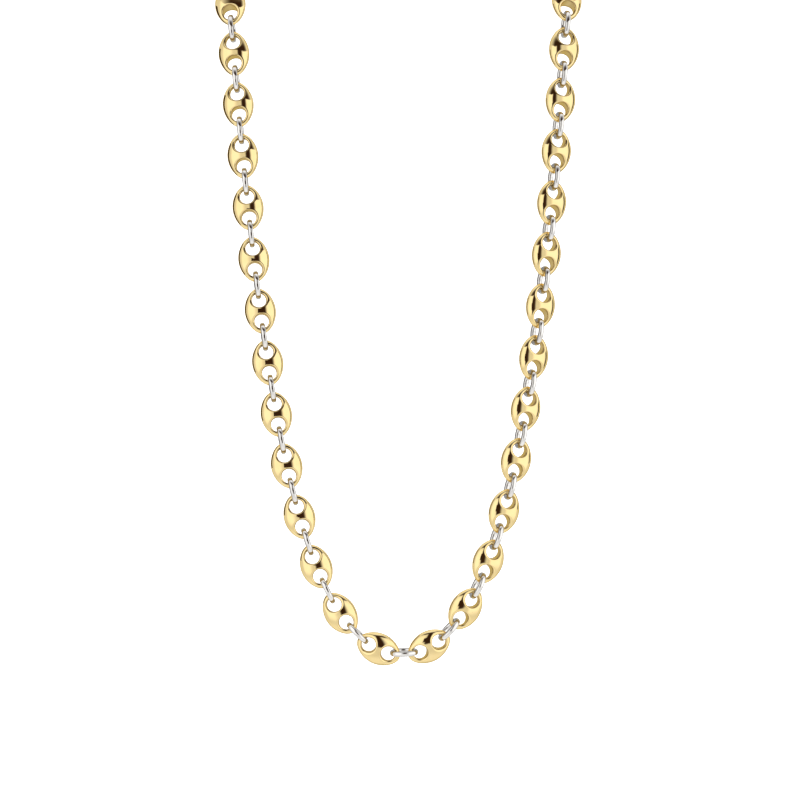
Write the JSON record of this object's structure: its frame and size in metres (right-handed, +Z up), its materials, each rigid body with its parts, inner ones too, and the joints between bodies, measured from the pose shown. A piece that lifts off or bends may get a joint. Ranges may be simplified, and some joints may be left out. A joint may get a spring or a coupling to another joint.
{
  "type": "coffee bean chain",
  "caption": "Necklace of puffed gold-coloured oval beans with two round eyes each, joined by small white wire ovals, hanging as worn.",
  "frame": {"origin": "where the clasp's inner side rests on the nape, from which the chain hangs", "axes": "+Z up, -Y towards a viewer in front of the wearer, +X to the viewer's right"},
  "size_m": [0.0832, 0.0373, 0.1836],
  "materials": {
    "gold": "mirror polished gold",
    "white_metal": "mirror polished silver"
  },
  "bodies": {
    "root": {"bean_01": "gold", "bean_02": "gold", "bean_03": "gold", "bean_04": "gold", "bean_05": "gold", "bean_06": "gold", "bean_07": "gold", "bean_08": "gold", "bean_09": "gold", "bean_10": "gold", "bean_11": "gold", "bean_12": "gold", "bean_13": "gold", "bean_14": "gold", "bean_15": "gold", "bean_16": "gold", "bean_17": "gold", "bean_18": "gold", "bean_19": "gold", "bean_20": "gold", "bean_21": "gold", "bean_22": "gold", "bean_23": "gold", "bean_24": "gold", "bean_25": "gold", "bean_26": "gold", "bean_27": "gold", "bean_28": "gold", "bean_29": "gold", "bean_30": "gold", "bean_31": "gold", "bean_32": "gold", "bean_33": "gold", "bean_34": "gold", "bean_35": "gold", "bean_36": "gold", "connectors_right": "white_metal", "connectors_left": "white_metal", "clasp": "white_metal"}
  },
  "joints": []
}
